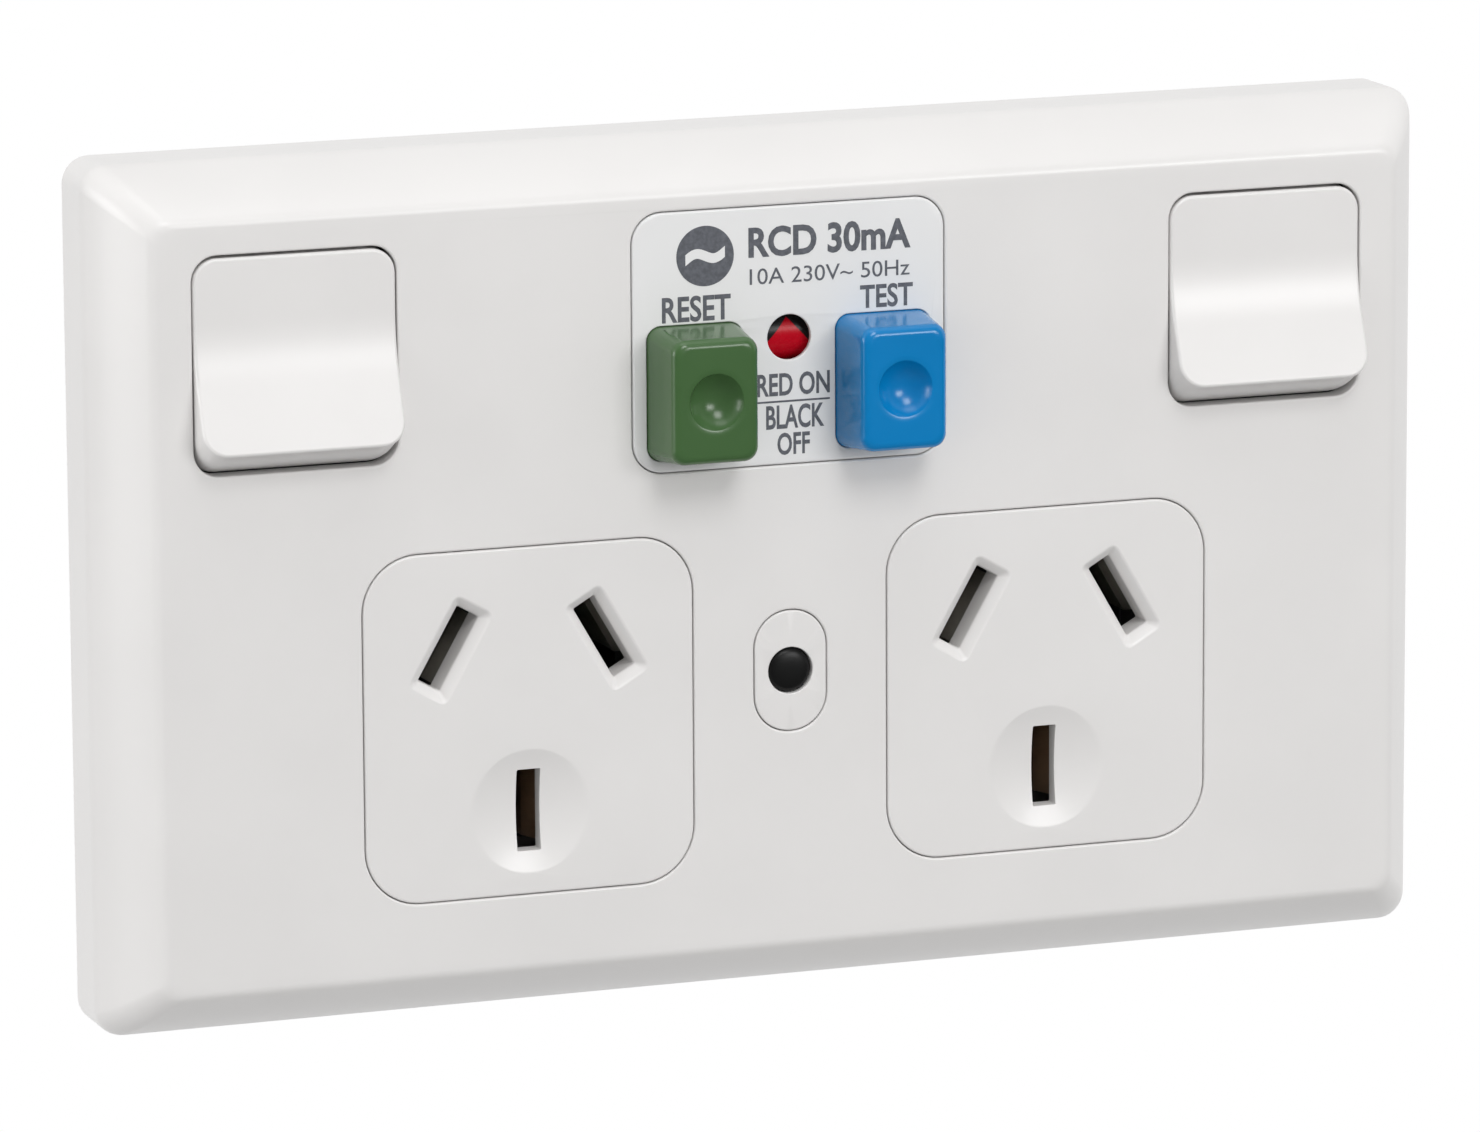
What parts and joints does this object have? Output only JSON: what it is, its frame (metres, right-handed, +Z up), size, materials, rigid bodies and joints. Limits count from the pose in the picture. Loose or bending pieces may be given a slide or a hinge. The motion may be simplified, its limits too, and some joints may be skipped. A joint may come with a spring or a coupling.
{
  "type": "gfci socket outlet",
  "caption": "White wall socket outlet with angled-pin sockets, a rocker switch above each, and a residual-current trip module with reset and test buttons and a flag window.",
  "frame": {"origin": "middle of the wall plane behind the cover plate", "axes": "+X to the right along the plate, +Y into the wall, +Z up"},
  "size_m": [0.119, 0.0495, 0.0734],
  "materials": {
    "white_plastic": "satin moulded plastic",
    "panel_plastic": "satin moulded plastic, neutral white",
    "green_plastic": "satin moulded plastic",
    "blue_plastic": "satin moulded plastic",
    "red_plastic": "satin moulded plastic",
    "black_plastic": "satin moulded plastic",
    "grey_plastic": "matte moulded plastic",
    "brass": "stamped brass strip",
    "copper": "enamelled copper wire",
    "zinc_steel": "zinc-plated steel",
    "circuit_board": "green solder mask",
    "ferrite": "dark sintered core"
  },
  "bodies": {
    "outlet": {"active_clamp_screw": "zinc_steel", "active_conductor": "copper", "active_fixed_contact": "brass", "active_terminal": "brass", "carriage_guide": "black_plastic", "carriage_spring": "zinc_steel", "circuit_board": "circuit_board", "contact_carrier": "grey_plastic", "cover_plate": "white_plastic", "cover_screw": "zinc_steel", "earth_bar": "brass", "earth_clamp_screw": "zinc_steel", "earth_terminal": "brass", "housing_screw_1": "zinc_steel", "housing_screw_2": "zinc_steel", "housing_screw_3": "zinc_steel", "housing_screw_4": "zinc_steel", "left_active_contact": "brass", "left_rocker_pin": "zinc_steel", "left_socket_face": "white_plastic", "left_switch_post": "brass", "mounting_frame": "grey_plastic", "neutral_bar": "brass", "neutral_clamp_screw": "zinc_steel", "neutral_conductor": "copper", "neutral_fixed_contact": "brass", "neutral_terminal": "brass", "rcd_panel": "panel_plastic", "rear_housing": "grey_plastic", "reset_spring": "zinc_steel", "right_active_contact": "brass", "right_rocker_pin": "zinc_steel", "right_socket_face": "white_plastic", "right_switch_post": "brass", "screw_cap": "white_plastic", "screw_plug": "black_plastic", "solenoid_coil": "copper", "solenoid_yoke": "zinc_steel", "test_resistor": "blue_plastic", "test_spring": "zinc_steel", "test_strip": "brass", "transformer_core": "ferrite", "transformer_winding": "copper", "trip_lever_pin": "zinc_steel"},
    "left_rocker": {"left_rocker": "white_plastic", "left_plunger": "brass", "left_plunger_spring": "zinc_steel"},
    "right_rocker": {"right_rocker": "white_plastic", "right_plunger": "brass", "right_plunger_spring": "zinc_steel"},
    "left_blade": {"left_switch_blade": "brass"},
    "right_blade": {"right_switch_blade": "brass"},
    "reset": {"reset_button": "green_plastic"},
    "test": {"test_button": "blue_plastic"},
    "carriage": {"contact_carriage": "black_plastic", "active_moving_contact": "brass", "neutral_moving_contact": "brass"},
    "lever": {"trip_lever": "grey_plastic"},
    "armature": {"solenoid_armature": "zinc_steel"},
    "flag": {"indicator_flag": "red_plastic"}
  },
  "joints": [
    {"name": "left_rocker_turn", "type": "hinge", "parent": "outlet", "child": "left_rocker", "pos_m": [-0.04325, -0.0083, 0.0205], "axis": [1, 0, 0], "range_deg": [0, 21]},
    {"name": "left_blade_tilt", "type": "hinge", "parent": "outlet", "child": "left_blade", "pos_m": [-0.04325, 0.0024, 0.0205], "axis": [1, 0, 0], "range_deg": [-16, 0]},
    {"name": "right_rocker_turn", "type": "hinge", "parent": "outlet", "child": "right_rocker", "pos_m": [0.04325, -0.0083, 0.0205], "axis": [1, 0, 0], "range_deg": [0, 21]},
    {"name": "right_blade_tilt", "type": "hinge", "parent": "outlet", "child": "right_blade", "pos_m": [0.04325, 0.0024, 0.0205], "axis": [1, 0, 0], "range_deg": [-16, 0]},
    {"name": "reset_press", "type": "slide", "parent": "outlet", "child": "reset", "axis": [0, 1, 0], "range_m": [0, 0.0022], "stiffness_N_per_m": 800, "deforming": ["reset_spring"]},
    {"name": "test_press", "type": "slide", "parent": "outlet", "child": "test", "axis": [0, 1, 0], "range_m": [0, 0.0022], "stiffness_N_per_m": 800, "deforming": ["test_spring"]},
    {"name": "trip_slide", "type": "slide", "parent": "outlet", "child": "carriage", "axis": [0, -1, 0], "range_m": [0, 0.0025], "deforming": ["carriage_spring"]},
    {"name": "lever_swing", "type": "hinge", "parent": "outlet", "child": "lever", "pos_m": [-0.0015, 0.00925, 0.0199], "axis": [0, 1, 0], "range_deg": [-28.65, 0]},
    {"name": "armature_push", "type": "slide", "parent": "outlet", "child": "armature", "axis": [-1, 0, 0], "range_m": [0, 0.0016]},
    {"name": "flag_turn", "type": "hinge", "parent": "outlet", "child": "flag", "pos_m": [0, -0.0084, 0.0197], "axis": [1, 0, 0], "range_deg": [0, 100]}
  ],
  "couplings": [
    {"joint": "left_blade_tilt", "follows": "left_rocker_turn", "ratio": -0.7619},
    {"joint": "right_blade_tilt", "follows": "right_rocker_turn", "ratio": -0.7619},
    {"joint": "lever_swing", "follows": "trip_slide", "rad_per_m": -200},
    {"joint": "armature_push", "follows": "trip_slide", "ratio": 0.64},
    {"joint": "flag_turn", "follows": "trip_slide", "rad_per_m": 698}
  ]
}
